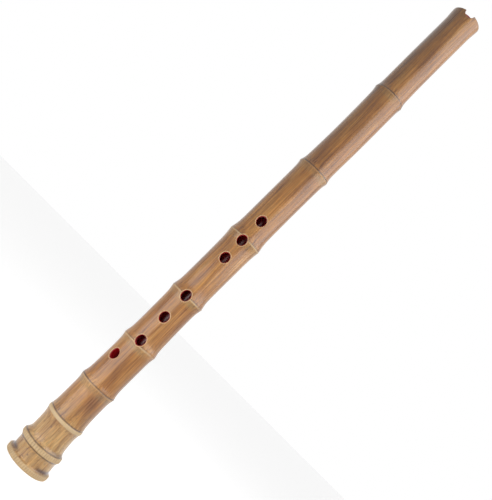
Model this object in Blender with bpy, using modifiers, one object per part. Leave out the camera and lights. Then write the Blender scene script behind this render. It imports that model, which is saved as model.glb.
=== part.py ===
"""A one-piece xiao: an end-blown, root-end bamboo flute with seven front holes and a thumb hole.

The flute stands on its root end, with the origin at the centre of that end's face. +Z runs up to the mouth.
The front holes and the notch face -Y, the little finger's hole is turned towards -X, and the thumb hole
faces +Y. Every length below is in metres and every angle in degrees.
"""

import math

import bmesh
import bpy
from mathutils import Matrix, Vector

MM = 0.001

LENGTH = 560 * MM

# Natural nodes of the culm, from the mouth down: height, radius of the tube on the mouth side, radius of the
# ridge, radius of the tube on the root side, half the height of the ridge's flat top, and the ridge's reach
# up and down the tube.
NODES = (
    (454.3 * MM, 14.30 * MM, 15.80 * MM, 14.90 * MM, 0.4 * MM, 3.2 * MM),
    (356.3 * MM, 14.60 * MM, 16.30 * MM, 15.25 * MM, 0.4 * MM, 3.5 * MM),
    (268.7 * MM, 15.05 * MM, 16.90 * MM, 15.80 * MM, 0.4 * MM, 5.6 * MM),
    (197.3 * MM, 15.45 * MM, 17.20 * MM, 15.75 * MM, 0.4 * MM, 4.3 * MM),
    (139.1 * MM, 16.10 * MM, 17.70 * MM, 16.45 * MM, 0.4 * MM, 4.1 * MM),
    (88.8 * MM, 16.70 * MM, 18.40 * MM, 17.00 * MM, 0.4 * MM, 3.8 * MM),
    (49.7 * MM, 17.60 * MM, 18.80 * MM, 17.15 * MM, 1.0 * MM, 4.2 * MM),
    (21.0 * MM, 17.80 * MM, 21.20 * MM, 18.30 * MM, 1.6 * MM, 2.5 * MM),
)
SWELL_REACH = 9 * MM
SWELL_SHARE = 0.3
LONG_INTERNODE = 50 * MM

# The mouth end, which flares because it is cut just above a node.
MOUTH_TUBE_RADIUS = 14.35 * MM
MOUTH_RADIUS = 15.10 * MM
MOUTH_FLARE = 14 * MM
MOUTH_EDGE = 0.6 * MM

# The root-end rim.
RIM_RADIUS = 22.65 * MM
RIM_NECK_RADIUS = 20.6 * MM
RIM_SHOULDER = 4.0 * MM
RIM_TOP = 6.8 * MM
RIM_EDGE = 2.0 * MM

# How far the culm's centre line strays towards -X at each height.
BEND = (
    (0 * MM, 0.0 * MM),
    (7 * MM, 0.0 * MM),
    (24 * MM, 1.25 * MM),
    (48 * MM, 2.4 * MM),
    (84 * MM, 2.65 * MM),
    (128 * MM, 2.1 * MM),
    (190 * MM, 2.25 * MM),
    (240 * MM, 1.9 * MM),
    (312 * MM, 1.6 * MM),
    (372 * MM, 0.8 * MM),
    (395 * MM, 0.25 * MM),
    (430 * MM, 0.15 * MM),
    (480 * MM, 0.55 * MM),
    (545 * MM, 0.15 * MM),
    (560 * MM, 0.0 * MM),
)

# The drilled bore's radius at each height, before it is lacquered.
BORE = (
    (560 * MM, 8.35 * MM),
    (454 * MM, 8.35 * MM),
    (356 * MM, 8.4 * MM),
    (269 * MM, 8.3 * MM),
    (197 * MM, 8.2 * MM),
    (139 * MM, 8.0 * MM),
    (89 * MM, 7.8 * MM),
    (50 * MM, 7.6 * MM),
    (21 * MM, 7.6 * MM),
    (8 * MM, 7.8 * MM),
    (3 * MM, 8.3 * MM),
    (0 * MM, 9.1 * MM),
)

# Tone holes: name, height, and angle round the culm from the front line towards -X.
TONE_HOLES = (
    ("thumb", 311 * MM, 180),
    ("front_1", 289.1 * MM, -1.6),
    ("front_2", 265.3 * MM, -0.4),
    ("front_3", 244.1 * MM, -0.9),
    ("front_4", 197.1 * MM, -0.1),
    ("front_5", 171.2 * MM, 1.3),
    ("front_6", 143.2 * MM, 2.3),
    ("side_7", 119.6 * MM, 33.6),
)
HOLE_LONG = 10.8 * MM
HOLE_WIDE = 9.1 * MM

# The blowing notch is a half round cut down from the mouth.
NOTCH_RADIUS = 5.0 * MM
NOTCH_INNER_Y = -4 * MM

SEPTUM_THICKNESS = 2.0 * MM
SEPTUM_CROWN = 0.3 * MM
SEPTUM_EDGE = 0.2 * MM

# Meshes that touch keep this gap.
GAP = 0.3 * MM
LACQUER_THICKNESS = 0.5 * MM
LACQUER_EDGE_DEPTH = 0.5 * MM
LACQUER_ROOT_HEIGHT = 3 * MM
COAT_PIN_START = 1 * MM

CULM_STEPS = 36
LACQUER_STEPS = 28
HOLE_STEPS = 20
NOTCH_STEPS = 36
REACH = 12 * MM
SMOOTH_ANGLE = math.radians(35)


def lerp(a, b, t):
    return a + (b - a) * t


def smoothstep(t):
    t = min(max(t, 0.0), 1.0)
    return t * t * (3 - 2 * t)


def along(points, z):
    """The value at height z of a smooth curve through (height, value) points, which are in order of height."""
    points = sorted(points)
    if z <= points[0][0]:
        return points[0][1]
    if z >= points[-1][0]:
        return points[-1][1]
    i = max(k for k, (height, _) in enumerate(points) if height <= z)
    (z0, v0), (z1, v1) = points[i], points[i + 1]
    before = points[max(i - 1, 0)]
    after = points[min(i + 2, len(points) - 1)]
    slope0 = (v1 - before[1]) / (z1 - before[0])
    slope1 = (after[1] - v0) / (after[0] - z0)
    span = z1 - z0
    t = (z - z0) / span
    return (
        v0 * (1 + 2 * t) * (1 - t) ** 2
        + v1 * t * t * (3 - 2 * t)
        + span * slope0 * t * (1 - t) ** 2
        - span * slope1 * t * t * (1 - t)
    )


def bend(z):
    return -along(BEND, z)


def bore_radius(z):
    return along(BORE, z)


def tube_radius(z):
    """The culm's radius between its ridges: it widens evenly from each node down to the next."""
    upper, upper_radius = LENGTH, MOUTH_TUBE_RADIUS
    for height, mouth_side, _, root_side, _, _ in NODES:
        if z >= height:
            return lerp(mouth_side, upper_radius, (z - height) / (upper - height))
        upper, upper_radius = height, root_side
    return lerp(RIM_NECK_RADIUS, upper_radius, z / upper)


def ridge_rise(z):
    """How far the nodes' ridges and the swelling beside them stand out from the tube."""
    rise = 0.0
    for height, mouth_side, ridge, root_side, half_top, reach in NODES:
        side = mouth_side if z > height else root_side
        away = max(abs(z - height) - half_top, 0.0)
        swell = SWELL_SHARE * math.exp(-away / SWELL_REACH)
        crest = (1 - SWELL_SHARE) * math.exp(-((away / reach) ** 1.5))
        rise += (ridge - side) * (swell + crest)
    return rise


def outer_radius(z):
    """The culm's outer radius at height z, from the root rim up to the mouth."""
    radius = tube_radius(z) + ridge_rise(z)
    flare = smoothstep((z - (LENGTH - MOUTH_FLARE)) / MOUTH_FLARE)
    radius += (MOUTH_RADIUS - MOUTH_TUBE_RADIUS) * flare
    rim = smoothstep((RIM_TOP - z) / (RIM_TOP - RIM_SHOULDER))
    radius = lerp(radius, RIM_RADIUS, rim)
    if z < RIM_EDGE:
        radius -= RIM_EDGE * (1 - math.sqrt(1 - ((RIM_EDGE - z) / RIM_EDGE) ** 2))
    if z > LENGTH - MOUTH_EDGE:
        radius -= z - (LENGTH - MOUTH_EDGE)
    return radius


def outer_heights():
    """Heights at which the culm's outline has a point, from the mouth down to the root."""
    heights = [LENGTH, LENGTH - MOUTH_EDGE]
    heights += [LENGTH - MOUTH_FLARE * part for part in (0.25, 0.5, 0.75, 1.0)]
    steps = [step * MM for step in (13, 6, 2.4, 0.8)]
    upper = LENGTH - MOUTH_FLARE
    for height, _, _, _, half_top, _ in NODES[:-1]:
        if upper - height > LONG_INTERNODE:
            heights += [lerp(upper, height, part) for part in (1 / 3, 2 / 3)]
        upper = height
        heights += [height + half_top + step for step in steps]
        heights += [height + half_top, height - half_top]
        heights += [height - half_top - step for step in reversed(steps)]
    height, _, _, _, half_top, _ = NODES[-1]
    heights += [height + half_top + step * MM for step in (9, 5, 3.4, 2, 0.8, 0)]
    heights += [height - half_top - step * MM for step in (0, 1, 2.6, 5)]
    heights += [11 * MM, RIM_TOP, 6 * MM, 5 * MM, RIM_SHOULDER]
    heights += [RIM_EDGE * part for part in (1, 0.5, 0.15, 0)]
    return heights


def bore_heights(top, bottom):
    """Heights of the bore's rings, from top down to bottom, close enough to follow the bend."""
    count = 14
    heights = [lerp(top, bottom, i / count) for i in range(count + 1)]
    heights += [height for height in (8 * MM, 3 * MM, 1.2 * MM) if bottom < height < top]
    return sorted(set(heights), reverse=True)


def clear_scene():
    for obj in list(bpy.data.objects):
        bpy.data.objects.remove(obj)


def new_collection(name):
    collection = bpy.data.collections.new(name)
    bpy.context.scene.collection.children.link(collection)
    return collection


def material(name, colour, roughness):
    made = bpy.data.materials.new(name)
    made.use_nodes = True
    made.diffuse_color = (*colour, 1)
    shader = made.node_tree.nodes["Principled BSDF"]
    shader.inputs["Base Color"].default_value = (*colour, 1)
    shader.inputs["Roughness"].default_value = roughness
    shader.inputs["Metallic"].default_value = 0.0
    return made


def turned_mesh(name, profile, steps, closed):
    """The mesh of a profile of (radius, height) points turned round Z, with its centre line bent."""
    mesh = bpy.data.meshes.new(name + "_profile")
    edges = [(i, i + 1) for i in range(len(profile) - 1)]
    if closed:
        edges.append((len(profile) - 1, 0))
    mesh.from_pydata([(radius, 0, height) for radius, height in profile], edges, [])
    obj = bpy.data.objects.new(name + "_profile", mesh)
    bpy.context.scene.collection.objects.link(obj)
    screw = obj.modifiers.new("turn", "SCREW")
    screw.steps = steps
    screw.render_steps = steps
    screw.use_merge_vertices = True
    screw.merge_threshold = 0.00001
    graph = bpy.context.evaluated_depsgraph_get()
    turned = bpy.data.meshes.new_from_object(obj.evaluated_get(graph))
    bpy.data.objects.remove(obj)
    bpy.data.meshes.remove(mesh)
    turned.name = name
    for vertex in turned.vertices:
        vertex.co.x += bend(vertex.co.z)
    return turned


def add_object(name, mesh, collection, look=None):
    obj = bpy.data.objects.new(name, mesh)
    collection.objects.link(obj)
    if look:
        mesh.materials.clear()
        mesh.materials.append(look)
        mesh.shade_smooth()
        mesh.set_sharp_from_angle(angle=SMOOTH_ANGLE)
    else:
        obj.hide_render = True
        obj.display_type = "WIRE"
    return obj


def combine(obj, operation, cutter):
    step = obj.modifiers.new(cutter.name, "BOOLEAN")
    step.operation = operation
    step.solver = "EXACT"
    step.object = cutter


def hole_pin(name, height, angle, inset, start, cutters):
    """An oval pin along a tone hole, from near the bore's centre out past the wall, smaller all round by inset."""
    turn = math.radians(angle)
    outward = Vector((-math.sin(turn), -math.cos(turn), 0))
    across = Vector((math.cos(turn), -math.sin(turn), 0))
    end = outer_radius(height) + REACH
    centre = Vector((bend(height), 0, height)) + outward * (start + end) / 2
    axes = Matrix((across, (0, 0, 1), outward)).transposed().to_4x4()
    size = Matrix.Diagonal((HOLE_WIDE / 2 - inset, HOLE_LONG / 2 - inset, end - start, 1))
    mesh = bpy.data.meshes.new(name)
    shape = bmesh.new()
    bmesh.ops.create_cone(
        shape,
        cap_ends=True,
        segments=HOLE_STEPS,
        radius1=1,
        radius2=1,
        depth=1,
        matrix=Matrix.Translation(centre) @ axes @ size,
    )
    bmesh.ops.recalc_face_normals(shape, faces=shape.faces)
    shape.to_mesh(mesh)
    shape.free()
    return add_object(name, mesh, cutters)


def notch_pin(name, inset, start_y, cutters):
    """A round pin across the front of the mouth, centred on the end face, which cuts the half-round notch."""
    end_y = -(MOUTH_RADIUS + REACH)
    centre = Vector((bend(LENGTH), (start_y + end_y) / 2, LENGTH))
    mesh = bpy.data.meshes.new(name)
    shape = bmesh.new()
    bmesh.ops.create_cone(
        shape,
        cap_ends=True,
        segments=NOTCH_STEPS,
        radius1=NOTCH_RADIUS - inset,
        radius2=NOTCH_RADIUS - inset,
        depth=start_y - end_y,
        matrix=Matrix.Translation(centre) @ Matrix.Rotation(math.radians(90), 4, "X"),
    )
    bmesh.ops.recalc_face_normals(shape, faces=shape.faces)
    shape.to_mesh(mesh)
    shape.free()
    return add_object(name, mesh, cutters)


def make_culm(parts, cutters):
    profile = [(outer_radius(height), height) for height in outer_heights()]
    profile += [(bore_radius(height), height) for height in reversed(bore_heights(LENGTH, 0))]
    mesh = turned_mesh("culm", profile, CULM_STEPS, closed=True)
    culm = add_object("culm", mesh, parts, material("bamboo", (0.42, 0.20, 0.06), 0.35))
    for name, height, angle in TONE_HOLES:
        combine(culm, "DIFFERENCE", hole_pin("hole_" + name, height, angle, 0, 0, cutters))
    combine(culm, "DIFFERENCE", notch_pin("notch", 0, NOTCH_INNER_Y, cutters))


def make_septum(parts):
    radius = bore_radius(LENGTH) - GAP
    bottom = LENGTH - SEPTUM_THICKNESS
    profile = (
        (0, LENGTH),
        (radius - SEPTUM_EDGE, LENGTH),
        (radius, LENGTH - SEPTUM_EDGE),
        (radius, bottom),
        (radius / 2, bottom + SEPTUM_CROWN * 0.7),
        (0, bottom + SEPTUM_CROWN),
    )
    mesh = turned_mesh("mouth_septum", profile, CULM_STEPS, closed=False)
    add_object("mouth_septum", mesh, parts, material("septum", (0.70, 0.60, 0.43), 0.6))


def rod(name, inset, top, bottom, cutters=None):
    """A turned rod that fills the bore from bottom to top, smaller all round by inset."""
    sides = [(bore_radius(height) - inset, height) for height in bore_heights(top, bottom)]
    profile = [(0, top)] + sides + [(0, bottom)]
    mesh = turned_mesh(name, profile, LACQUER_STEPS, closed=False)
    return add_object(name, mesh, cutters) if cutters else mesh


def make_lacquer(parts, cutters):
    """The coat of lacquer: what lies between a filling of the bore, holes and notch and a thinner one."""
    face = GAP
    inner = GAP + LACQUER_THICKNESS
    ceiling = LENGTH - SEPTUM_THICKNESS - GAP
    mesh = rod("bore_lacquer", face, ceiling, LACQUER_ROOT_HEIGHT)
    coat = add_object("bore_lacquer", mesh, parts, material("lacquer", (0.42, 0.015, 0.02), 0.3))
    for name, height, angle in TONE_HOLES:
        combine(coat, "UNION", hole_pin("coat_" + name, height, angle, face, COAT_PIN_START, cutters))
    combine(coat, "UNION", notch_pin("coat_notch", face, NOTCH_INNER_Y, cutters))

    heights = [height for height in outer_heights() if height > LACQUER_ROOT_HEIGHT]
    sides = [(outer_radius(height) - LACQUER_EDGE_DEPTH, height) for height in heights[1:]]
    top = LENGTH - LACQUER_EDGE_DEPTH
    profile = [(0, top), (sides[0][0], top)] + sides + [(0, sides[-1][1])]
    mesh = turned_mesh("coat_limit", profile, CULM_STEPS, closed=False)
    combine(coat, "INTERSECT", add_object("coat_limit", mesh, cutters))

    seat = bore_radius(LENGTH)
    profile = ((0, LENGTH + REACH), (seat, LENGTH + REACH), (seat, ceiling), (0, ceiling))
    mesh = turned_mesh("septum_seat", profile, CULM_STEPS, closed=False)
    combine(coat, "DIFFERENCE", add_object("septum_seat", mesh, cutters))

    combine(coat, "DIFFERENCE", rod("air_bore", inner, LENGTH, 0, cutters))
    for name, height, angle in TONE_HOLES:
        combine(coat, "DIFFERENCE", hole_pin("air_" + name, height, angle, inner, 0, cutters))
    combine(coat, "DIFFERENCE", notch_pin("air_notch", inner, NOTCH_INNER_Y / 2, cutters))


def build():
    clear_scene()
    parts = new_collection("xiao")
    cutters = new_collection("cutters")
    make_culm(parts, cutters)
    make_septum(parts)
    make_lacquer(parts, cutters)


build()
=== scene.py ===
"""The looks of the xiao: grown bamboo with node scars and root beads, red lacquer, light and camera.

Every length is in metres, in the frame of the solids: +Z runs up from the root end to the mouth, and the
front holes face -Y. An angle round the culm is in radians, from the front line towards -X.
"""

import math

import bmesh
import bpy
import numpy as np
from mathutils import Matrix, Vector


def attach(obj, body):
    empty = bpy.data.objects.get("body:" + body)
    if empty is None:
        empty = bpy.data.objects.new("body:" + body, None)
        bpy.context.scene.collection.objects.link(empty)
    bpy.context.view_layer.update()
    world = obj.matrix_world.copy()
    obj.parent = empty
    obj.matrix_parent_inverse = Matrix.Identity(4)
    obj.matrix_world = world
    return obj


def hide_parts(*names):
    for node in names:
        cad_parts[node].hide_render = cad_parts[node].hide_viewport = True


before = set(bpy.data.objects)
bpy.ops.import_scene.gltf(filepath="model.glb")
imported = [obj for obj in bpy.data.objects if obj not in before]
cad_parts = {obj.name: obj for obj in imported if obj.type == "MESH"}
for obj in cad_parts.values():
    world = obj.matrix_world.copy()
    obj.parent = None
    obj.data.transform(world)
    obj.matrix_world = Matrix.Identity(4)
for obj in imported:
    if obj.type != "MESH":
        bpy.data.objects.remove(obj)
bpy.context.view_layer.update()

MM = 0.001
FULL_TURN = 2 * math.pi

# The culm's shape, as in the part's source. Each node has its height, the tube's radius on its mouth side,
# the ridge's radius, the tube's radius on its root side, half the height of its flat top, and its reach.
LENGTH = 560 * MM
NODES = (
    (454.3 * MM, 14.30 * MM, 15.80 * MM, 14.90 * MM, 0.4 * MM, 3.2 * MM),
    (356.3 * MM, 14.60 * MM, 16.30 * MM, 15.25 * MM, 0.4 * MM, 3.5 * MM),
    (268.7 * MM, 15.05 * MM, 16.90 * MM, 15.80 * MM, 0.4 * MM, 5.6 * MM),
    (197.3 * MM, 15.45 * MM, 17.20 * MM, 15.75 * MM, 0.4 * MM, 4.3 * MM),
    (139.1 * MM, 16.10 * MM, 17.70 * MM, 16.45 * MM, 0.4 * MM, 4.1 * MM),
    (88.8 * MM, 16.70 * MM, 18.40 * MM, 17.00 * MM, 0.4 * MM, 3.8 * MM),
    (49.7 * MM, 17.60 * MM, 18.80 * MM, 17.15 * MM, 1.0 * MM, 4.2 * MM),
    (21.0 * MM, 17.80 * MM, 21.20 * MM, 18.30 * MM, 1.6 * MM, 2.5 * MM),
)
SCARRED_NODES = range(6)
COLLAR_NODE = 6
BEADED_NODE = 7
SWELL_REACH = 9 * MM
SWELL_SHARE = 0.3
MOUTH_TUBE_RADIUS = 14.35 * MM
MOUTH_RADIUS = 15.10 * MM
MOUTH_FLARE = 14 * MM
MOUTH_EDGE = 0.6 * MM
RIM_RADIUS = 22.65 * MM
RIM_NECK_RADIUS = 20.6 * MM
RIM_SHOULDER = 4.0 * MM
RIM_TOP = 6.8 * MM
RIM_EDGE = 2.0 * MM
# Height and value in mm, from the root end: how far the centre line bends towards -X, and the bore's radius.
BEND = np.array((
    (0, 0.0), (7, 0.0), (24, 1.25), (48, 2.4), (84, 2.65), (128, 2.1), (190, 2.25), (240, 1.9),
    (312, 1.6), (372, 0.8), (395, 0.25), (430, 0.15), (480, 0.55), (545, 0.15), (560, 0.0),
)) * MM
BORE = np.array((
    (0, 9.1), (3, 8.3), (8, 7.8), (21, 7.6), (50, 7.6), (89, 7.8), (139, 8.0), (197, 8.2), (269, 8.3),
    (356, 8.4), (454, 8.35), (560, 8.35),
)) * MM
# The height of each tone hole, and its angle in degrees.
TONE_HOLES = (
    (311 * MM, 180), (289.1 * MM, -1.6), (265.3 * MM, -0.4), (244.1 * MM, -0.9), (197.1 * MM, -0.1),
    (171.2 * MM, 1.3), (143.2 * MM, 2.3), (119.6 * MM, 33.6),
)
HOLE_HALF_LONG = 10.8 * MM / 2
HOLE_HALF_WIDE = 9.1 * MM / 2
NOTCH_RADIUS = 5.0 * MM
SEPTUM_THICKNESS = 2.0 * MM

# Detail that is too fine for the solids.
SANDED_WIDTH = 0.75 * MM
SANDED_DEPTH = 0.35 * MM
SANDED_MIDDLE = (0.35, 0.3)
RING_BEADS = 52
RIM_BEADS = 58
# How dark and how pale each scar line is, from the mouth down.
LINE_DARKNESS = (1.0, 1.0, 0.35, 0.3, 0.35, 0.8)
LINE_PALENESS = (0.25, 0.2, 0.7, 0.75, 0.7, 0.35)

# The lacquer: how far its back and its face lie from the bamboo, and where it ends.
LINING_BACK = 0.02 * MM
LINING_FACE = 0.3 * MM
LINING_EDGE = 0.55 * MM
LINING_ROOT = 3 * MM
LINING_TOP = LENGTH - SEPTUM_THICKNESS - 0.2 * MM
NOTCH_EASE = 12 * MM
TROUGH_DROP = 0.12 * MM
PLATE_HALF_WIDTH = 4.65 * MM
PLATE_DEPTHS = (SEPTUM_THICKNESS + 0.4 * MM, 0.15 * MM)
PLATE_FACES = (-0.03 * MM, 0.12 * MM)

# The septum's section: share of its radius, and mm below the mouth.
SEPTUM_GAP = 0.05 * MM
SEPTUM_SECTION = (
    (0.02, 0.10), (0.2, 0.10), (0.4, 0.09), (0.6, 0.07), (0.8, 0.05), (0.92, 0.03), (0.955, 0.09),
    (0.975, 0.02), (0.992, 0.03), (1.0, 0.15), (1.0, 1.0), (1.0, 2.0), (0.5, 1.8), (0.02, 1.7),
)

# The meshes. The bore's columns crowd less at the front, so that a hole's window spans as many of them.
COLUMNS = 180
SEAM = math.radians(-90)
FINE = 3
ROOT_ZONE = 30 * MM
ROOT_STEP = 0.3 * MM
ROOT_LAST_ROWS = (0.25 * MM, 0.1 * MM, 0.0)
ROOT_FACE_STEP = 19 * MM
SKIN_STEPS = (0.45 * MM, 2.2 * MM)
BORE_STEPS = (1.5 * MM, 3 * MM)
FINE_ZONE = 5 * MM
STEP_GROWTH = 0.2
NOTCH_WINDOW = math.radians(24)
BORE_WINDOW = math.radians(46)
NOTCH_WINDOW_DEPTH = 8 * MM
HOLE_WINDOW = math.radians(25)
FOOT_WINDOW = math.radians(48)
WINDOW_HALF_HEIGHT = 8.5 * MM
RING_SHARES = np.linspace(0, 1, 9)[:, None]
RING_CROWDING = 1.5
HOLE_WALL_STEPS = 6
FACE_STEPS = 8
LINING_HOLE_POINTS = 96
SEPTUM_POINTS = 96
TROUGH_POINTS = 33
PLATE_POINTS = 25
WELD = 0.004 * MM
TINY = 1e-9

# Seeds of the random waves, one for each feature.
SEED_WARP = 3
SEED_WARP_ALONG = 4
SEED_WRINKLES = 8
SEED_LUMPS = 9
SEED_LUMPS_ALONG = 10
SEED_ROT = 12
SEED_RING_ROT = 14
SEED_RINGS = 20
SEED_RING_BEADS = 41
SEED_RIM_BEADS = 51
SEED_LINES = 60
SEED_SEPTUM = 77

# The culm's materials, by their place on its mesh.
BAMBOO, SANDED, GRAIN = range(3)

# Linear colours.
BAMBOO_TONES = (
    (0.34, (0.16, 0.052, 0.010)),
    (0.46, (0.33, 0.125, 0.022)),
    (0.54, (0.42, 0.175, 0.035)),
    (0.66, (0.55, 0.27, 0.075)),
)
ROOT_TONES = (
    (0.34, (0.26, 0.11, 0.030)),
    (0.48, (0.50, 0.27, 0.085)),
    (0.62, (0.64, 0.40, 0.16)),
)
SANDED_TONES = ((0.35, (0.46, 0.27, 0.11)), (0.6, (0.72, 0.50, 0.27)))
SEPTUM_TONES = ((0.36, (0.62, 0.50, 0.34)), (0.55, (0.80, 0.72, 0.56)))
LACQUER_TONES = ((0.35, (0.33, 0.008, 0.012)), (0.65, (0.58, 0.016, 0.022)))
HEAD_BROWN = (0.22, 0.095, 0.022)
SPOT_BROWN = (0.10, 0.035, 0.012)
HALO_GREEN = (0.36, 0.30, 0.14)
RING_CREAM = (0.66, 0.47, 0.25)
ROT_BROWN = (0.075, 0.022, 0.008)
# The dark of the scar lines, and painted shade in the grooves and between the beads of the root rings.
SCAR_AND_SHADE_BLACK = (0.030, 0.012, 0.006)
GRAIN_CREAM = (0.70, 0.52, 0.31)
GRAIN_BROWN = (0.50, 0.27, 0.12)
BUNDLE_BROWN = (0.22, 0.085, 0.035)
FINE_BUNDLE_BROWN = (0.20, 0.07, 0.03)
BORE_RING_CREAM = (0.74, 0.57, 0.36)
SEPTUM_STAIN = (0.60, 0.47, 0.30)
FLOOR_GREY = (0.8, 0.8, 0.8)
WHITE = (1, 1, 1)

# The studio.
FLOOR_HALF_SIZE = 4.0
FLOOR_ROUGHNESS = 0.9
FLOOR_GLOW = 0.75
AMBIENT = 0.14

# The camera, fitted to the photograph's outline, holes and node rings.
CAMERA_AZIMUTH = math.radians(5.379)
CAMERA_HEIGHT = 0.19734
CAMERA_DISTANCE = 0.6673
CAMERA_PAN = math.radians(-0.4628)
CAMERA_TILT = math.radians(5.6328)
CAMERA_ROLL = math.radians(44.768)
CAMERA_LENS = 54.288
CAMERA_SENSOR = 36
CAMERA_NEAR = 0.01


def smoothstep(t):
    t = np.clip(t, 0.0, 1.0)
    return t * t * (3 - 2 * t)


def bell(distance, width):
    return np.exp(-((distance / width) ** 2))


def along(points, z):
    """The value at each height z of a smooth curve through (height, value) points in order of height."""
    heights, values = points[:, 0], points[:, 1]
    z = np.clip(z, heights[0], heights[-1])
    i = np.clip(np.searchsorted(heights, z, side="right") - 1, 0, len(heights) - 2)
    before = np.maximum(i - 1, 0)
    after = np.minimum(i + 2, len(heights) - 1)
    slope0 = (values[i + 1] - values[before]) / (heights[i + 1] - heights[before])
    slope1 = (values[after] - values[i]) / (heights[after] - heights[i])
    span = heights[i + 1] - heights[i]
    t = (z - heights[i]) / span
    return (
        values[i] * (1 + 2 * t) * (1 - t) ** 2
        + values[i + 1] * t * t * (3 - 2 * t)
        + span * slope0 * t * (1 - t) ** 2
        - span * slope1 * t * t * (1 - t)
    )


def bend(z):
    return -along(BEND, z)


def bore_radius(z):
    return along(BORE, z)


def tube_radius(z):
    """The culm's radius between its ridges: it widens evenly from each node down to the next."""
    result = np.zeros_like(z)
    upper, upper_radius = LENGTH, MOUTH_TUBE_RADIUS
    for height, mouth_side, _, root_side, _, _ in NODES:
        share = (z - height) / (upper - height)
        inside = (z >= height) & (z <= upper + TINY)
        result = np.where(inside, mouth_side + (upper_radius - mouth_side) * share, result)
        upper, upper_radius = height, root_side
    below = RIM_NECK_RADIUS + (upper_radius - RIM_NECK_RADIUS) * z / upper
    return np.where(z < upper, below, result)


def ridge_rise(z):
    """What the node ridges add to the tube's radius: a long low swell and a short crest at each."""
    rise = np.zeros_like(z)
    for height, mouth_side, ridge, root_side, half_top, reach in NODES:
        side = np.where(z > height, mouth_side, root_side)
        away = np.maximum(np.abs(z - height) - half_top, 0.0)
        swell = SWELL_SHARE * np.exp(-away / SWELL_REACH)
        crest = (1 - SWELL_SHARE) * np.exp(-((away / reach) ** 1.5))
        rise += (ridge - side) * (swell + crest)
    return rise


def outline(z):
    """The culm's plain outer radius at each height, as in the part's source."""
    radius = tube_radius(z) + ridge_rise(z)
    flare = smoothstep((z - (LENGTH - MOUTH_FLARE)) / MOUTH_FLARE)
    radius = radius + (MOUTH_RADIUS - MOUTH_TUBE_RADIUS) * flare
    rim = smoothstep((RIM_TOP - z) / (RIM_TOP - RIM_SHOULDER))
    radius = radius + (RIM_RADIUS - radius) * rim
    edge = np.clip((RIM_EDGE - z) / RIM_EDGE, 0, 1)
    radius = radius - RIM_EDGE * (1 - np.sqrt(1 - edge**2))
    return radius - np.maximum(z - (LENGTH - MOUTH_EDGE), 0)


def waves(angle, seed, terms, low=1):
    """A smooth random function round the culm, about -1 to 1, the same on every run."""
    chance = np.random.default_rng(seed)
    total = np.zeros_like(angle)
    for k in range(low, low + terms):
        total += chance.normal() * np.cos(k * angle + chance.uniform(0, FULL_TURN)) / math.sqrt(k)
    return total / math.sqrt(terms)


def beads(angle, count, seed):
    """The profile of a ring of root beads: 0 in the gaps, and on each crown the bead's own size, up to 1."""
    drift = waves(angle, seed, 6) * 0.6
    spot = angle * count / FULL_TURN + drift
    index = np.floor(spot).astype(int) % count
    inside = spot - np.floor(spot)
    size = np.random.default_rng(seed + 1).uniform(0.55, 1.0, count)[index]
    return np.sqrt(np.clip(np.sin(math.pi * inside), 0, 1)) * size


def above_ring(k, angle, z):
    """The height above node k's scar line, which wanders a little round the culm."""
    return z - NODES[k][0] - waves(angle, SEED_RINGS + k, 5) * 0.35 * MM


def scar_relief(k, angle, z):
    """The low lip of a node's scar line, and the groove above it."""
    off = above_ring(k, angle, z)
    lip = 0.16 * MM * bell(off + 0.1 * MM, 0.5 * MM)
    groove = 0.22 * MM * bell(off - 0.75 * MM, 0.35 * MM)
    return lip - groove


def collar_relief(angle, z):
    """The flat cream collar of the lowest plain node, and the groove above it."""
    off = above_ring(COLLAR_NODE, angle, z)
    collar = 0.3 * MM * smoothstep((1.9 * MM - np.abs(off)) / (0.7 * MM))
    groove = 0.25 * MM * bell(off - 2.3 * MM, 0.5 * MM)
    return collar - groove


def bead_relief(angle, z):
    """The two rings of root beads, with a groove on each side of the upper one."""
    off = above_ring(BEADED_NODE, angle, z)
    upper_band = np.sqrt(np.clip(1 - (off / (2.5 * MM)) ** 2, 0, 1))
    upper = upper_band * (0.75 * beads(angle, RING_BEADS, SEED_RING_BEADS) - 0.35) * MM
    grooves = 0.3 * MM * bell(np.abs(off) - 2.8 * MM, 0.5 * MM)
    rim_band = np.sqrt(np.clip(1 - ((z - 3.4 * MM) / (2.6 * MM)) ** 2, 0, 1))
    rim = rim_band * (0.8 * beads(angle, RIM_BEADS, SEED_RIM_BEADS) - 0.7) * MM
    return upper - grooves + rim


def root_relief(angle, z):
    """The wrinkles between the two rings of beads, and the pits above the rim."""
    zone = smoothstep((z - 6 * MM) / (1.5 * MM)) * smoothstep((17.5 * MM - z) / (2 * MM))
    phase = waves(angle, SEED_WRINKLES, 6) * 2
    wrinkles = zone * 0.09 * MM * np.sin(z / (1.3 * MM) * FULL_TURN + phase)
    lumps = waves(angle, SEED_LUMPS, 30, 5) * waves(z * 300, SEED_LUMPS_ALONG, 8)
    pitted = bell(z - 7.4 * MM, 1.8 * MM) * smoothstep(waves(angle + 0.7, SEED_ROT, 4) + 0.5)
    return wrinkles - pitted * (0.35 + 0.5 * lumps) * MM


def relief(angle, z):
    """What the fine detail adds to the culm's radius."""
    rise = waves(angle, SEED_WARP, 4, 2) * 0.06 * MM * np.sin(z * 40 + waves(angle, SEED_WARP_ALONG, 3))
    for k in SCARRED_NODES:
        rise = rise + scar_relief(k, angle, z)
    return rise + collar_relief(angle, z) + bead_relief(angle, z) + root_relief(angle, z)


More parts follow.
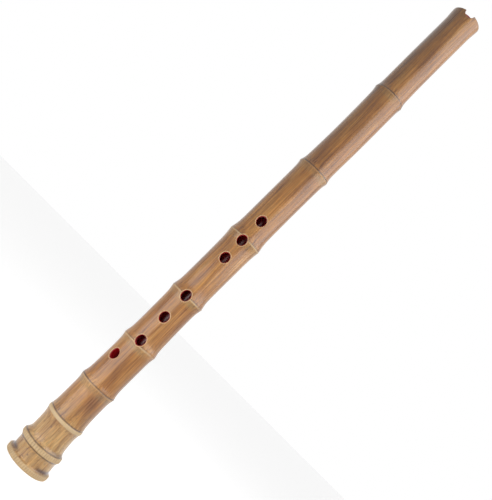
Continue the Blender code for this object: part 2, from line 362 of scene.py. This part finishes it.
def line_marks(angle, z):
    """How dark, how cream and how green each point is from the scar lines of the plain nodes."""
    dark, cream, halo = np.zeros_like(z), np.zeros_like(z), np.zeros_like(z)
    for k in SCARRED_NODES:
        off = above_ring(k, angle, z)
        wander = 0.5 + 0.5 * waves(angle, SEED_LINES + k, 4)
        dark += bell(off - 0.6 * MM, 0.5 * MM) * np.clip(LINE_DARKNESS[k] + 0.5 * (wander - 0.5), 0, 1)
        cream += bell(off + 0.5 * MM, 0.6 * MM) * np.clip(LINE_PALENESS[k] + 0.6 * (wander - 0.5), 0, 1)
        halo += bell(off + 3.5 * MM, 3.0 * MM) * np.clip(wander, 0, 1) * 0.5
    return dark, cream, halo


def marks(angle, z):
    """How much each point shows of a dark line, a cream ring, a brown scar and a pale halo, by name. The dark
    is the plain nodes' scar lines, and painted shade in the grooves and between the beads of the root rings.
    """
    dark, cream, halo = line_marks(angle, z)
    off = above_ring(COLLAR_NODE, angle, z)
    cream += smoothstep((1.9 * MM - np.abs(off)) / (0.5 * MM))
    # Painted shade: a dark line in the groove above the collar.
    dark += 0.9 * bell(off - 2.4 * MM, 0.5 * MM)
    off = above_ring(BEADED_NODE, angle, z)
    crown = beads(angle, RING_BEADS, SEED_RING_BEADS)
    cream += smoothstep((2.4 * MM - np.abs(off)) / (0.6 * MM)) * (0.45 + 0.55 * crown)
    # Painted shade: dark in the grooves on each side of the bead ring, and in the gaps between its beads.
    dark += 0.8 * bell(np.abs(off) - 2.9 * MM, 0.5 * MM) + 0.5 * bell(crown, 0.3) * bell(off, 2.4 * MM)
    crown = beads(angle, RIM_BEADS, SEED_RIM_BEADS)
    cream += smoothstep((5.6 * MM - z) / (0.8 * MM)) * (0.5 + 0.5 * crown)
    # Painted shade in the gaps between the rim's beads.
    dark += 0.45 * bell(crown, 0.3) * bell(z - 3.4 * MM, 2.2 * MM)
    rim_rot = smoothstep(waves(angle + 0.7, SEED_ROT, 4) * 1.5 + 0.6)
    ring_rot = smoothstep(waves(angle, SEED_RING_ROT, 7) * 1.5 + 0.4)
    scar = bell(z - 7.6 * MM, 2.0 * MM) * rim_rot + 0.6 * bell(z - 25.5 * MM, 1.4 * MM) * ring_rot
    layers = {"dark": dark, "cream": cream, "scar": scar, "halo": halo}
    return {name: np.clip(layer, 0, 1) for name, layer in layers.items()}


def skin_radius(angle, z):
    return outline(z) + relief(angle, z)


def wood_bore(_, z):
    return bore_radius(z)


def place(angle, z, radius):
    """Points at an angle round the culm, a height, and a distance from its bent centre line."""
    x = bend(z) - radius * np.sin(angle)
    y = -radius * np.cos(angle)
    return np.stack([x, y, z + 0 * x], axis=-1)


def grid(rows, angles, radius_at):
    z, angle = np.meshgrid(rows, angles, indexing="ij")
    return place(angle, z, radius_at(angle, z))


def between(first, last, count):
    """Rows of points that pass from the first row to the last in equal steps."""
    share = np.linspace(0, 1, count + 1)[:, None, None]
    return first[None] + (last - first)[None] * share


def row_heights(steps, top, bottom):
    """Heights from top to bottom: finely spaced at the nodes and the mouth, and wider between them."""
    fine_step, wide_step = steps
    result = [top]
    z = top
    while z > bottom + TINY:
        near = min([abs(z - node[0]) for node in NODES] + [abs(LENGTH - z)])
        step = fine_step if near < FINE_ZONE else min(wide_step, fine_step + (near - FINE_ZONE) * STEP_GROWTH)
        z = max(z - step, bottom)
        result.append(z)
    if result[-2] - result[-1] < fine_step / 2:
        result.pop(-2)
    return np.array(result)


def bore_angle(angle):
    """The bore's columns are spread so that a hole's window has as many columns as it has outside."""
    turn = (angle + math.pi) % FULL_TURN - math.pi
    share = np.abs(turn) / math.pi
    edge = NOTCH_WINDOW / math.pi
    inner = BORE_WINDOW / math.pi
    beyond = inner + (share - edge) / (1 - edge) * (1 - inner)
    warped = np.where(share < edge, share / edge * inner, beyond)
    return angle + np.sign(turn) * (warped - share) * math.pi


def border(top, bottom, left, right):
    """Row and column of each grid point on a window's border, in order round it."""
    along_top = [(top, j) for j in range(left, right)]
    down = [(i, right) for i in range(top, bottom)]
    along_bottom = [(bottom, j) for j in range(right, left, -1)]
    up = [(i, left) for i in range(bottom, top, -1)]
    return np.array(along_top + down + along_bottom + up)


def oval(turn, centre, height, half_size, radius_at):
    """Angle and height of points of an oval hole's edge, cut straight through a wall of the given radius."""
    half_wide, half_long = half_size
    z = height + half_long * np.sin(turn)
    across = half_wide * np.cos(turn)
    angle = centre + np.arcsin(across / radius_at(centre, z))
    angle = centre + np.arcsin(across / radius_at(angle, z))
    return angle, z


def straight(turn, centre, height, half_size, radius_at, back):
    """Points of a hole's straight wall, set back from the surface it meets."""
    angle, z = oval(turn, centre, height, half_size, radius_at)
    across = half_size[0] * np.cos(turn)
    out = np.sqrt(radius_at(angle, z) ** 2 - across**2) - back
    x = bend(z) - out * np.sin(centre) - across * np.cos(centre)
    y = -out * np.cos(centre) + across * np.sin(centre)
    return np.stack([x, y, z], axis=-1)


def rolled(points, turn):
    start = -int(np.argmin(turn))
    return np.roll(points, start, axis=0), np.roll(turn, start)


def in_order(points, turn):
    """A loop's points from the lowest turn upwards, and their turns, ending with the first point's again."""
    points, turn = rolled(points, turn % FULL_TURN)
    if turn[1] > turn[-1]:
        points, turn = rolled(points[::-1], turn[::-1])
    return points, np.append(turn, turn[0] + FULL_TURN)


def share_along(points):
    """How far along a row each of its points lies, from 0 to 1."""
    steps = np.linalg.norm(np.diff(points, axis=0), axis=1)
    length = np.concatenate([[0], np.cumsum(steps)])
    return length / length[-1]


class Surface:
    """Patches of points that are welded into one closed mesh."""

    def __init__(self):
        self.points = []
        self.faces = []
        self.looks = []
        self.count = 0

    def add(self, points):
        """Adds points, and returns the index of the first."""
        first = self.count
        self.points.append(points)
        self.count += len(points)
        return first

    def face(self, corners, look):
        self.faces.append(corners)
        self.looks.append(look)

    def cap(self, loop, look):
        first = self.add(loop)
        self.face(tuple(range(first, first + len(loop))), look)

    def patch(self, points, closed, look, keep=None):
        """Adds rows of points as quads. A closed grid joins its last column to its first."""
        rows, columns = points.shape[:2]
        base = self.add(points.reshape(-1, 3))
        for i in range(rows - 1):
            for j in range(columns if closed else columns - 1):
                if keep is None or keep[i, j]:
                    a = base + i * columns + j
                    b = base + i * columns + (j + 1) % columns
                    self.face((a, b, b + columns, a + columns), look)

    def fan(self, fine, coarse, look):
        """Joins a closed loop of points to one with FINE times fewer."""
        fine_first, coarse_first = self.add(fine), self.add(coarse)
        for j in range(len(coarse)):
            a, b = coarse_first + j, coarse_first + (j + 1) % len(coarse)
            c = [fine_first + (FINE * j + s) % len(fine) for s in range(FINE + 1)]
            for corners in ((a, c[1], c[0]), (a, b, c[2], c[1]), (b, c[3], c[2])):
                self.face(corners, look)

    def lace(self, first, first_at, second, second_at, look):
        """Fills between two rows of points with triangles, always on to the next point in order of place.

        A closed row has one place more than points, for the step back to its first point.
        """
        first_base, second_base = self.add(first), self.add(second)
        first_steps, second_steps = len(first_at) - 1, len(second_at) - 1
        a = b = 0
        while a < first_steps or b < second_steps:
            p = first_base + a % len(first)
            q = second_base + b % len(second)
            if b >= second_steps or (a < first_steps and first_at[a + 1] <= second_at[b + 1]):
                a += 1
                self.face((p, first_base + a % len(first), q), look)
            else:
                b += 1
                self.face((p, second_base + b % len(second), q), look)

    def mesh(self, name):
        made = bpy.data.meshes.new(name)
        made.from_pydata(np.concatenate(self.points).tolist(), [], self.faces)
        made.polygons.foreach_set("material_index", self.looks)
        work = bmesh.new()
        work.from_mesh(made)
        bmesh.ops.remove_doubles(work, verts=work.verts, dist=WELD)
        bmesh.ops.recalc_face_normals(work, faces=work.faces)
        work.to_mesh(made)
        work.free()
        made.shade_smooth()
        return made


class Wall:
    """A skin of the culm, on the outside or in the bore, with windows that are left open for the holes."""

    def __init__(self, surface, rows, angles, radius_at, look):
        self.surface = surface
        self.rows = rows
        self.angles = angles
        self.radius_at = radius_at
        self.look = look
        self.keep = np.ones((len(rows) - 1, len(angles)), bool)

    def row(self, height):
        return int(np.argmin(np.abs(self.rows - height)))

    def columns(self, centre, half_angle):
        inside = np.where(np.abs(self.angles - centre) <= half_angle + 1e-6)[0]
        return inside[0], inside[-1]

    def window(self, centre, height, half_angle):
        """Opens a window round a hole, and gives the angle, height and turn of each point of its border."""
        top, bottom = self.row(height + WINDOW_HALF_HEIGHT), self.row(height - WINDOW_HALF_HEIGHT)
        left, right = self.columns(centre, half_angle)
        self.keep[top:bottom, left:right] = False
        edge = border(top, bottom, left, right)
        z = self.rows[edge[:, 0]]
        angle = self.angles[edge[:, 1]]
        middle = (self.angles[left] + self.angles[right]) / 2
        level = (self.rows[top] + self.rows[bottom]) / 2
        across = (angle - middle) / (self.angles[right] - middle)
        return angle, z, np.arctan2((z - level) / (self.rows[top] - level), across)

    def rings(self, angle, z, to_angle, to_z, share):
        """Rings of points on the wall that pass from a window's border to an opening's edge."""
        ring_angle = angle + (to_angle - angle) * share
        ring_z = z + (to_z - z) * share
        return place(ring_angle, ring_z, self.radius_at(ring_angle, ring_z))

    def hole(self, centre, height, half_size):
        """Fills a window up to an oval hole's edge, and gives the turn of each of its points."""
        angle, z, turn = self.window(centre, height, HOLE_WINDOW)
        to_angle, to_z = oval(turn, centre, height, half_size, self.radius_at)
        share = 1 - (1 - RING_SHARES) ** RING_CROWDING
        self.surface.patch(self.rings(angle, z, to_angle, to_z, share), True, self.look)
        return turn

    def meet(self, centre, height, foot, foot_turn):
        """Fills a window up to the foot of a hole's wall."""
        angle, z, turn = self.window(centre, height, FOOT_WINDOW)
        edge = place(angle, z, self.radius_at(angle, z))
        self.surface.lace(*in_order(edge, turn), *in_order(foot, foot_turn), self.look)

    def notch(self, half_angle):
        """Opens the wall for the notch, and gives the notch's arc and the rest of the mouth's edge."""
        bottom = self.row(LENGTH - NOTCH_WINDOW_DEPTH)
        left, right = self.columns(0.0, half_angle)
        self.keep[0:bottom, left:right] = False
        down = [(i, left) for i in range(bottom)]
        along_bottom = [(bottom, j) for j in range(left, right)]
        up = [(i, right) for i in range(bottom, -1, -1)]
        edge = np.array(down + along_bottom + up)
        z = self.rows[edge[:, 0]]
        angle = self.angles[edge[:, 1]]
        turn = np.arctan2((z - LENGTH) / (LENGTH - self.rows[bottom]), angle / self.angles[right])
        turn = np.where(turn > TINY, turn - FULL_TURN, turn)
        to_z = LENGTH + NOTCH_RADIUS * np.sin(turn)
        across = NOTCH_RADIUS * np.cos(turn)
        to_angle = np.arcsin(across / self.radius_at(angle * 0, to_z))
        to_angle = np.arcsin(across / self.radius_at(to_angle, to_z))
        points = self.rings(angle, z, to_angle, to_z, RING_SHARES)
        self.surface.patch(points, False, self.look)
        outside = (self.angles < self.angles[left] + TINY) | (self.angles > self.angles[right] - TINY)
        past_right = self.angles[outside & (self.angles > 0)]
        before_left = self.angles[outside & (self.angles < 0)]
        round_back = np.concatenate([past_right, before_left])
        mouth = np.full(len(round_back), LENGTH)
        back = place(round_back, mouth, self.radius_at(round_back, mouth))
        return points[-1], np.concatenate([points[::-1, -1][:-1], back, points[:, 0][1:]])

    def finish(self):
        self.surface.patch(grid(self.rows, self.angles, self.radius_at), True, self.look, self.keep)


COLUMN_ANGLES = SEAM + np.arange(COLUMNS) * FULL_TURN / COLUMNS
BORE_ANGLES = bore_angle(COLUMN_ANGLES)
MOUTH_BORE = bore_radius(LENGTH)
HOLES = tuple((math.radians(degrees), height) for height, degrees in TONE_HOLES)


def cut_hole(surface, outer, inner, centre, height):
    """A tone hole: a sanded edge that eases into a straight wall, down to the bore."""
    def size(growth):
        return HOLE_HALF_WIDE + growth, HOLE_HALF_LONG + growth

    width_share, depth_share = SANDED_MIDDLE
    turn = outer.hole(centre, height, size(SANDED_WIDTH))
    edge = straight(turn, centre, height, size(SANDED_WIDTH), skin_radius, 0.0)
    lip = straight(turn, centre, height, size(0.0), skin_radius, SANDED_DEPTH)
    middle_size = size(SANDED_WIDTH * width_share)
    middle = straight(turn, centre, height, middle_size, skin_radius, SANDED_DEPTH * depth_share)
    surface.patch(np.stack([edge, middle, lip]), True, SANDED)
    foot = straight(turn, centre, height, size(0.0), wood_bore, 0.0)
    surface.patch(between(lip, foot, HOLE_WALL_STEPS), True, GRAIN)
    inner.meet(centre, height, foot, turn)


def cut_notch(surface, outer, inner):
    """The half-round notch, cut straight through the front, and the mouth's flat end face."""
    arc, outer_edge = outer.notch(NOTCH_WINDOW)
    bore_arc, bore_edge = inner.notch(BORE_WINDOW)
    foot = arc.copy()
    foot[:, 1] = -np.sqrt(bore_radius(arc[:, 2]) ** 2 - (arc[:, 0] - bend(arc[:, 2])) ** 2)
    surface.patch(between(arc, foot, FACE_STEPS), False, GRAIN)
    surface.lace(foot, share_along(foot), bore_arc, share_along(bore_arc), GRAIN)
    surface.patch(between(outer_edge, bore_edge, FACE_STEPS), False, GRAIN)


def add_root_end(surface):
    """The finely meshed root end with its beads, and its flat face round the bore."""
    rows = np.concatenate([np.arange(ROOT_ZONE, 0.2 * MM, -ROOT_STEP), ROOT_LAST_ROWS])
    fine_angles = SEAM + np.arange(COLUMNS * FINE) * FULL_TURN / (COLUMNS * FINE)
    points = grid(rows[1:], fine_angles, skin_radius)
    surface.patch(points, True, BAMBOO)
    surface.fan(points[0], grid(rows[:1], COLUMN_ANGLES, skin_radius)[0], BAMBOO)
    zero = np.zeros(COLUMNS)
    step = place(COLUMN_ANGLES, zero, np.full(COLUMNS, ROOT_FACE_STEP))
    surface.fan(points[-1], step, GRAIN)
    bore_exit = place(BORE_ANGLES, zero, bore_radius(zero))
    surface.patch(between(step, bore_exit, FACE_STEPS), True, GRAIN)


def make_culm():
    surface = Surface()
    outer = Wall(surface, row_heights(SKIN_STEPS, LENGTH, ROOT_ZONE), COLUMN_ANGLES, skin_radius, BAMBOO)
    inner = Wall(surface, row_heights(BORE_STEPS, LENGTH, 0.0), BORE_ANGLES, wood_bore, GRAIN)
    for centre, height in HOLES:
        cut_hole(surface, outer, inner, centre, height)
    cut_notch(surface, outer, inner)
    outer.finish()
    inner.finish()
    add_root_end(surface)
    return surface


def notch_dip(z, angle, inset):
    """Lowers the lining's top rows under the notch."""
    radius = NOTCH_RADIUS - inset
    across = np.minimum(np.abs(bore_radius(z) * np.sin(angle)), radius)
    arc = LENGTH - np.sqrt(np.maximum(radius**2 - across**2, 0))
    limit = np.where(np.cos(angle) > 0, np.minimum(arc, LINING_TOP), LINING_TOP)
    low = LENGTH - NOTCH_EASE
    share = np.clip((z - low) / (LINING_TOP - low), 0, 1)
    return np.where(z > low, low + (limit - low) * share, z)


def add_lining_side(surface, inset):
    """The lining's back or face. Gives the holes' lips and the tube's top and bottom edge."""
    def radius_at(_, z):
        return bore_radius(z) - inset

    rows = row_heights(BORE_STEPS, LINING_TOP, LINING_ROOT)
    wall = Wall(surface, rows, BORE_ANGLES, radius_at, 0)
    turn = np.linspace(0, FULL_TURN, LINING_HOLE_POINTS, endpoint=False)
    size = HOLE_HALF_WIDE - inset, HOLE_HALF_LONG - inset
    lips = []
    for centre, height in HOLES:
        lip = straight(turn, centre, height, size, skin_radius, LINING_EDGE)
        foot = straight(turn, centre, height, size, radius_at, 0.0)
        surface.patch(between(lip, foot, HOLE_WALL_STEPS), True, 0)
        wall.meet(centre, height, foot, turn)
        lips.append(lip)
    z, angle = np.meshgrid(rows, BORE_ANGLES, indexing="ij")
    dipped = notch_dip(z, angle, inset)
    points = place(angle, dipped, bore_radius(dipped) - inset)
    surface.patch(points, True, 0, wall.keep)
    return lips + [points[0], points[-1]]


def trough_ends(inset):
    """The outer and the inner arc of the lacquer in the notch."""
    turn = np.linspace(-math.pi, 0, TROUGH_POINTS)
    radius = NOTCH_RADIUS - inset
    x = radius * np.cos(turn)
    z = LENGTH - TROUGH_DROP + radius * np.sin(turn)
    outer_y = LINING_EDGE - np.sqrt(np.maximum(skin_radius(np.zeros(TROUGH_POINTS), z) ** 2 - x**2, 0))
    inner_y = -np.sqrt((bore_radius(z) - inset) ** 2 - x**2)
    return np.stack([x, outer_y, z], axis=-1), np.stack([x, inner_y, z], axis=-1)


def add_trough(surface):
    """The lacquer on the notch's cut."""
    back_outer, back_inner = trough_ends(LINING_BACK)
    face_outer, face_inner = trough_ends(LINING_FACE)
    back = between(back_outer, back_inner, HOLE_WALL_STEPS)
    face = between(face_inner, face_outer, HOLE_WALL_STEPS)
    surface.patch(np.concatenate([back, face, back_outer[None]]), False, 0)
    for end in (0, -1):
        surface.patch(np.stack([back[:, end], face[::-1, end]]), False, 0)


def add_plate(surface):
    """The lacquer in front of the septum's edge, where the notch bares it."""
    edges = []
    for offset in PLATE_FACES:
        radius = MOUTH_BORE + offset
        turn = np.linspace(-1, 1, PLATE_POINTS) * math.asin(PLATE_HALF_WIDTH / radius)
        for depth in PLATE_DEPTHS:
            edges.append(place(turn, np.full(PLATE_POINTS, LENGTH - depth), np.full(PLATE_POINTS, radius)))
    inner_low, inner_high, outer_low, outer_high = edges
    surface.patch(np.stack([inner_low, inner_high, outer_high, outer_low, inner_low]), False, 0)
    for end in (0, -1):
        inner_side = np.stack([inner_low[end], inner_high[end]])
        outer_side = np.stack([outer_low[end], outer_high[end]])
        surface.patch(np.stack([inner_side, outer_side]), False, 0)


def make_lining():
    surface = Surface()
    back = add_lining_side(surface, LINING_BACK)
    face = add_lining_side(surface, LINING_FACE)
    for back_edge, face_edge in zip(back, face):
        surface.patch(np.stack([back_edge, face_edge]), True, 0)
    add_trough(surface)
    add_plate(surface)
    return surface


def make_septum():
    """The natural partition: a slightly dished disc with a softened edge and a fine lip round it."""
    surface = Surface()
    radius = MOUTH_BORE - SEPTUM_GAP
    turn = np.arange(SEPTUM_POINTS) * FULL_TURN / SEPTUM_POINTS
    rows = []
    for share, depth in SEPTUM_SECTION:
        dish = 0.05 * MM * waves(turn * 2, SEED_SEPTUM, 5) * share * (1 - share)
        rows.append(place(turn, LENGTH - depth * MM + dish, np.full(SEPTUM_POINTS, radius * share)))
    surface.patch(np.stack(rows), True, 0)
    surface.cap(rows[0], 0)
    surface.cap(rows[-1], 0)
    return surface


class Nodes:
    """Short names for the few kinds of shader node in use, in one node tree."""

    def __init__(self, tree):
        self.tree = tree

    def node(self, kind, **settings):
        made = self.tree.nodes.new(kind)
        for name, value in settings.items():
            setattr(made, name, value)
        return made

    def feed(self, socket, value):
        """Links a socket to another node's output, or sets it to a number or a colour."""
        if isinstance(value, bpy.types.NodeSocket):
            self.tree.links.new(value, socket)
        elif isinstance(value, tuple):
            socket.default_value = (*value, 1)
        else:
            socket.default_value = value

    def noise(self, vector, scale, detail, rough, stretch):
        """Noise with features of about 1/scale metres, drawn out along the culm by 1/stretch."""
        mapping = self.node("ShaderNodeMapping")
        mapping.inputs["Scale"].default_value = (1, 1, stretch)
        self.feed(mapping.inputs["Vector"], vector)
        texture = self.node("ShaderNodeTexNoise")
        self.feed(texture.inputs["Scale"], scale)
        self.feed(texture.inputs["Detail"], detail)
        self.feed(texture.inputs["Roughness"], rough)
        self.feed(texture.inputs["Vector"], mapping.outputs["Vector"])
        return texture.outputs["Fac"]

    def cells(self, vector, scale):
        """The distance from the middle of each of many random cells, about 1/scale metres across."""
        texture = self.node("ShaderNodeTexVoronoi")
        self.feed(texture.inputs["Scale"], scale)
        self.feed(texture.inputs["Vector"], vector)
        return texture.outputs["Distance"]

    def ramp(self, value, stops):
        made = self.node("ShaderNodeValToRGB")
        elements = made.color_ramp.elements
        while len(elements) < len(stops):
            elements.new(0.5)
        for element, (position, colour) in zip(elements, stops):
            element.position = position
            element.color = (*colour, 1)
        self.feed(made.inputs["Fac"], value)
        return made.outputs["Color"]

    def spread(self, value, low, high, to_low=0.0, to_high=1.0):
        """Maps low..high to to_low..to_high, and holds what lies beyond."""
        made = self.node("ShaderNodeMapRange")
        for name, number in (("From Min", low), ("From Max", high), ("To Min", to_low), ("To Max", to_high)):
            self.feed(made.inputs[name], number)
        self.feed(made.inputs["Value"], value)
        return made.outputs["Result"]

    def mix(self, first, second, amount, blend="MIX"):
        made = self.node("ShaderNodeMix", data_type="RGBA", blend_type=blend)
        for socket, value in ((0, amount), (6, first), (7, second)):
            self.feed(made.inputs[socket], value)
        return made.outputs[2]

    def calc(self, operation, first, second):
        made = self.node("ShaderNodeMath", operation=operation)
        self.feed(made.inputs[0], first)
        self.feed(made.inputs[1], second)
        return made.outputs[0]

    def times(self, first, second):
        return self.calc("MULTIPLY", first, second)

    def mark(self, name):
        return self.node("ShaderNodeAttribute", attribute_name=name).outputs["Fac"]

    def seen(self):
        """1 for what the camera sees directly, in gloss or through glass, else 0."""
        path = self.node("ShaderNodeLightPath").outputs
        direct = self.calc("MAXIMUM", path["Is Camera Ray"], path["Is Glossy Ray"])
        return self.calc("MAXIMUM", direct, path["Is Transmission Ray"])


class Look(Nodes):
    """A material with one Principled shader."""

    def __init__(self, name):
        self.material = bpy.data.materials.new(name)
        self.material.use_nodes = True
        super().__init__(self.material.node_tree)
        self.shader = self.tree.nodes["Principled BSDF"]

    def where(self):
        return self.node("ShaderNodeTexCoord").outputs["Object"]

    def set(self, name, value):
        self.feed(self.shader.inputs[name], value)

    def coat(self, weight, roughness):
        self.set("Coat Weight", weight)
        self.set("Coat Roughness", roughness)

    def bump(self, height, distance):
        made = self.node("ShaderNodeBump")
        self.feed(made.inputs["Distance"], distance)
        self.feed(made.inputs["Strength"], 1.0)
        self.feed(made.inputs["Height"], height)
        self.set("Normal", made.outputs["Normal"])


def bamboo_look():
    """Polished bamboo: streaked golden brown, browner at the head, straw at the root, with its marks and
    painted shade in the grooves and between the beads at the root.
    """
    look = Look("bamboo_skin")
    where = look.where()
    parts = look.node("ShaderNodeSeparateXYZ")
    look.feed(parts.inputs[0], where)
    z = parts.outputs["Z"]
    fibre = look.noise(where, 1500, 4, 0.6, 0.03)
    streak = look.noise(where, 420, 3, 0.55, 0.05)
    cloud = look.noise(where, 65, 3, 0.55, 0.35)
    speck = look.noise(where, 520, 2, 0.6, 0.6)
    tone = look.calc("ADD", look.times(streak, 0.55), look.times(cloud, 0.45))
    colour = look.ramp(tone, BAMBOO_TONES)
    root_share = look.spread(z, 75 * MM, 35 * MM)
    colour = look.mix(colour, look.ramp(tone, ROOT_TONES), root_share)
    head_share = look.spread(z, 360 * MM, LENGTH, 0.0, 0.35)
    colour = look.mix(colour, HEAD_BROWN, head_share)
    fibre_level = look.spread(fibre, 0.38, 0.62, 0.72, 1.25)
    grey = look.node("ShaderNodeCombineColor")
    for socket in grey.inputs:
        look.feed(socket, fibre_level)
    colour = look.mix(colour, grey.outputs[0], 1.0, "MULTIPLY")
    spots = look.times(look.spread(speck, 0.62, 0.72), look.spread(z, 100 * MM, 60 * MM))
    colour = look.mix(colour, SPOT_BROWN, look.times(spots, 0.7))
    colour = look.mix(colour, HALO_GREEN, look.times(look.mark("halo"), 0.7))
    colour = look.mix(colour, RING_CREAM, look.mark("cream"))
    colour = look.mix(colour, ROT_BROWN, look.mark("scar"))
    # The dark of the scar lines, and painted shade in the root rings' grooves and bead gaps.
    look.set("Base Color", look.mix(colour, SCAR_AND_SHADE_BLACK, look.mark("dark")))
    shine = look.spread(streak, 0.3, 0.7, 0.24, 0.40)
    look.set("Roughness", look.calc("ADD", shine, look.times(look.mark("cream"), 0.3)))
    look.coat(0.5, 0.12)
    look.bump(fibre, 0.12 * MM)
    return look.material


def sanded_look():
    """Bare pale bamboo on the sanded edges of the holes."""
    look = Look("sanded_edge")
    grain = look.noise(look.where(), 1800, 3, 0.6, 0.1)
    look.set("Base Color", look.ramp(grain, SANDED_TONES))
    look.set("Roughness", look.spread(grain, 0.3, 0.7, 0.4, 0.6))
    look.bump(grain, 0.08 * MM)
    return look.material


def end_grain_look():
    """Cut bamboo: cream ground with dark fibre bundles that crowd together towards the outside."""
    look = Look("end_grain")
    flat = look.node("ShaderNodeVectorMath", operation="MULTIPLY")
    look.feed(flat.inputs[0], look.where())
    flat.inputs[1].default_value = (1, 1, 0)
    length = look.node("ShaderNodeVectorMath", operation="LENGTH")
    look.feed(length.inputs[0], flat.outputs[0])
    radius = length.outputs["Value"]
    bundles = look.spread(look.cells(flat.outputs[0], 1500), 0.42, 0.22)
    fine_bundles = look.spread(look.cells(flat.outputs[0], 2600), 0.5, 0.25)
    colour = look.mix(GRAIN_CREAM, GRAIN_BROWN, look.spread(radius, 8.5 * MM, 14.8 * MM))
    colour = look.mix(colour, BUNDLE_BROWN, look.times(bundles, 0.75))
    crowd = look.times(fine_bundles, look.spread(radius, 10.5 * MM, 14.5 * MM))
    colour = look.mix(colour, FINE_BUNDLE_BROWN, look.times(crowd, 0.8))
    bore_ring = look.spread(radius, 9.7 * MM, 9.2 * MM)
    look.set("Base Color", look.mix(colour, BORE_RING_CREAM, look.times(bore_ring, 0.85)))
    look.set("Roughness", look.spread(bundles, 0.0, 1.0, 0.42, 0.6))
    look.bump(bundles, -0.08 * MM)
    return look.material


def septum_look():
    """The septum's whitish, mottled, sanded face."""
    look = Look("septum_face")
    where = look.where()
    grain = look.noise(where, 900, 4, 0.65, 1.0)
    cloud = look.noise(where, 220, 2, 0.5, 1.0)
    stain = look.spread(cloud, 0.5, 0.75, 0.0, 0.5)
    look.set("Base Color", look.mix(look.ramp(grain, SEPTUM_TONES), SEPTUM_STAIN, stain))
    look.set("Roughness", look.spread(grain, 0.3, 0.7, 0.5, 0.68))
    look.bump(grain, 0.08 * MM)
    return look.material


def lacquer_look():
    """Glossy red lacquer, a little uneven."""
    look = Look("red_lacquer")
    where = look.where()
    cloud = look.noise(where, 160, 3, 0.5, 0.4)
    ripple = look.noise(where, 900, 2, 0.5, 0.3)
    look.set("Base Color", look.ramp(cloud, LACQUER_TONES))
    look.set("Roughness", look.spread(ripple, 0.3, 0.7, 0.22, 0.34))
    look.coat(0.4, 0.1)
    look.bump(ripple, 0.06 * MM)
    return look.material


def show(obj):
    bpy.context.scene.collection.objects.link(obj)
    return obj


def add_piece(name, surface, looks, node):
    mesh = surface.mesh(name)
    for look in looks:
        mesh.materials.append(look)
    obj = show(bpy.data.objects.new(name, mesh))
    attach(obj, "root")
    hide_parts(node)
    return obj


def write_marks(mesh):
    """Stores how much of each mark every point of the culm shows, for its material."""
    points = np.zeros(len(mesh.vertices) * 3)
    mesh.vertices.foreach_get("co", points)
    x, y, z = points.reshape(-1, 3).T
    angle = np.arctan2(bend(z) - x, -y)
    for name, layer in marks(angle, z).items():
        mesh.attributes.new(name, "FLOAT", "POINT").data.foreach_set("value", layer)


def add_floor():
    mesh = bpy.data.meshes.new("floor")
    s = FLOOR_HALF_SIZE
    mesh.from_pydata([(-s, -s, 0), (s, -s, 0), (s, s, 0), (-s, s, 0)], [], [(0, 1, 2, 3)])
    look = Look("pale_floor")
    look.set("Base Color", FLOOR_GREY)
    look.set("Roughness", FLOOR_ROUGHNESS)
    look.set("Emission Color", WHITE)
    look.set("Emission Strength", look.times(look.seen(), FLOOR_GLOW))
    mesh.materials.append(look.material)
    show(bpy.data.objects.new("floor", mesh))


def add_world():
    world = bpy.data.worlds.new("studio")
    bpy.context.scene.world = world
    world.use_nodes = True
    nodes = Nodes(world.node_tree)
    background = world.node_tree.nodes["Background"]
    nodes.feed(background.inputs["Color"], WHITE)
    nodes.feed(background.inputs["Strength"], nodes.spread(nodes.seen(), 0.0, 1.0, AMBIENT, 1.0))


def add_lamp(name, away, distance, low, high, width, radiance):
    """A soft panel that stands upright and faces the culm, some degrees from the camera's side towards -X."""
    angle = CAMERA_AZIMUTH - math.radians(away)
    data = bpy.data.lights.new(name, "AREA")
    data.shape = "RECTANGLE"
    data.size = width
    data.size_y = high - low
    data.energy = radiance * math.pi * width * (high - low)
    lamp = show(bpy.data.objects.new(name, data))
    lamp.location = (math.sin(angle) * distance, -math.cos(angle) * distance, (low + high) / 2)
    inwards = Vector((-math.sin(angle), math.cos(angle), 0))
    lamp.rotation_euler = inwards.to_track_quat("-Z", "Y").to_euler()
    lamp.visible_camera = False


def add_camera():
    data = bpy.data.cameras.new("camera")
    data.lens = CAMERA_LENS
    data.sensor_width = CAMERA_SENSOR
    data.clip_start = CAMERA_NEAR
    camera = show(bpy.data.objects.new("camera", data))
    outwards = Vector((math.sin(CAMERA_AZIMUTH), -math.cos(CAMERA_AZIMUTH), 0))
    spot = outwards * CAMERA_DISTANCE + Vector((0, 0, CAMERA_HEIGHT))
    heading = CAMERA_AZIMUTH + CAMERA_PAN
    ahead = Vector((-math.sin(heading), math.cos(heading), 0)) * math.cos(CAMERA_TILT)
    ahead.z = math.sin(CAMERA_TILT)
    level_right = ahead.cross(Vector((0, 0, 1))).normalized()
    level_up = level_right.cross(ahead)
    right = level_right * math.cos(CAMERA_ROLL) + level_up * math.sin(CAMERA_ROLL)
    up = level_up * math.cos(CAMERA_ROLL) - level_right * math.sin(CAMERA_ROLL)
    axes = Matrix((right, up, -ahead)).transposed().to_4x4()
    camera.matrix_world = Matrix.Translation(spot) @ axes
    bpy.context.scene.camera = camera


culm_looks = (bamboo_look(), sanded_look(), end_grain_look())
culm = add_piece("xiao_culm", make_culm(), culm_looks, "culm")
write_marks(culm.data)
add_piece("xiao_lining", make_lining(), (lacquer_look(),), "bore_lacquer")
add_piece("xiao_septum", make_septum(), (septum_look(),), "mouth_septum")
add_floor()
add_world()
add_lamp("right_panel", away=-65, distance=0.55, low=0.24, high=1.2, width=0.95, radiance=2.2)
add_lamp("left_panel", away=37, distance=0.27, low=0.0, high=0.24, width=0.34, radiance=2.0)
add_camera()
bpy.context.scene.view_settings.view_transform = "Standard"
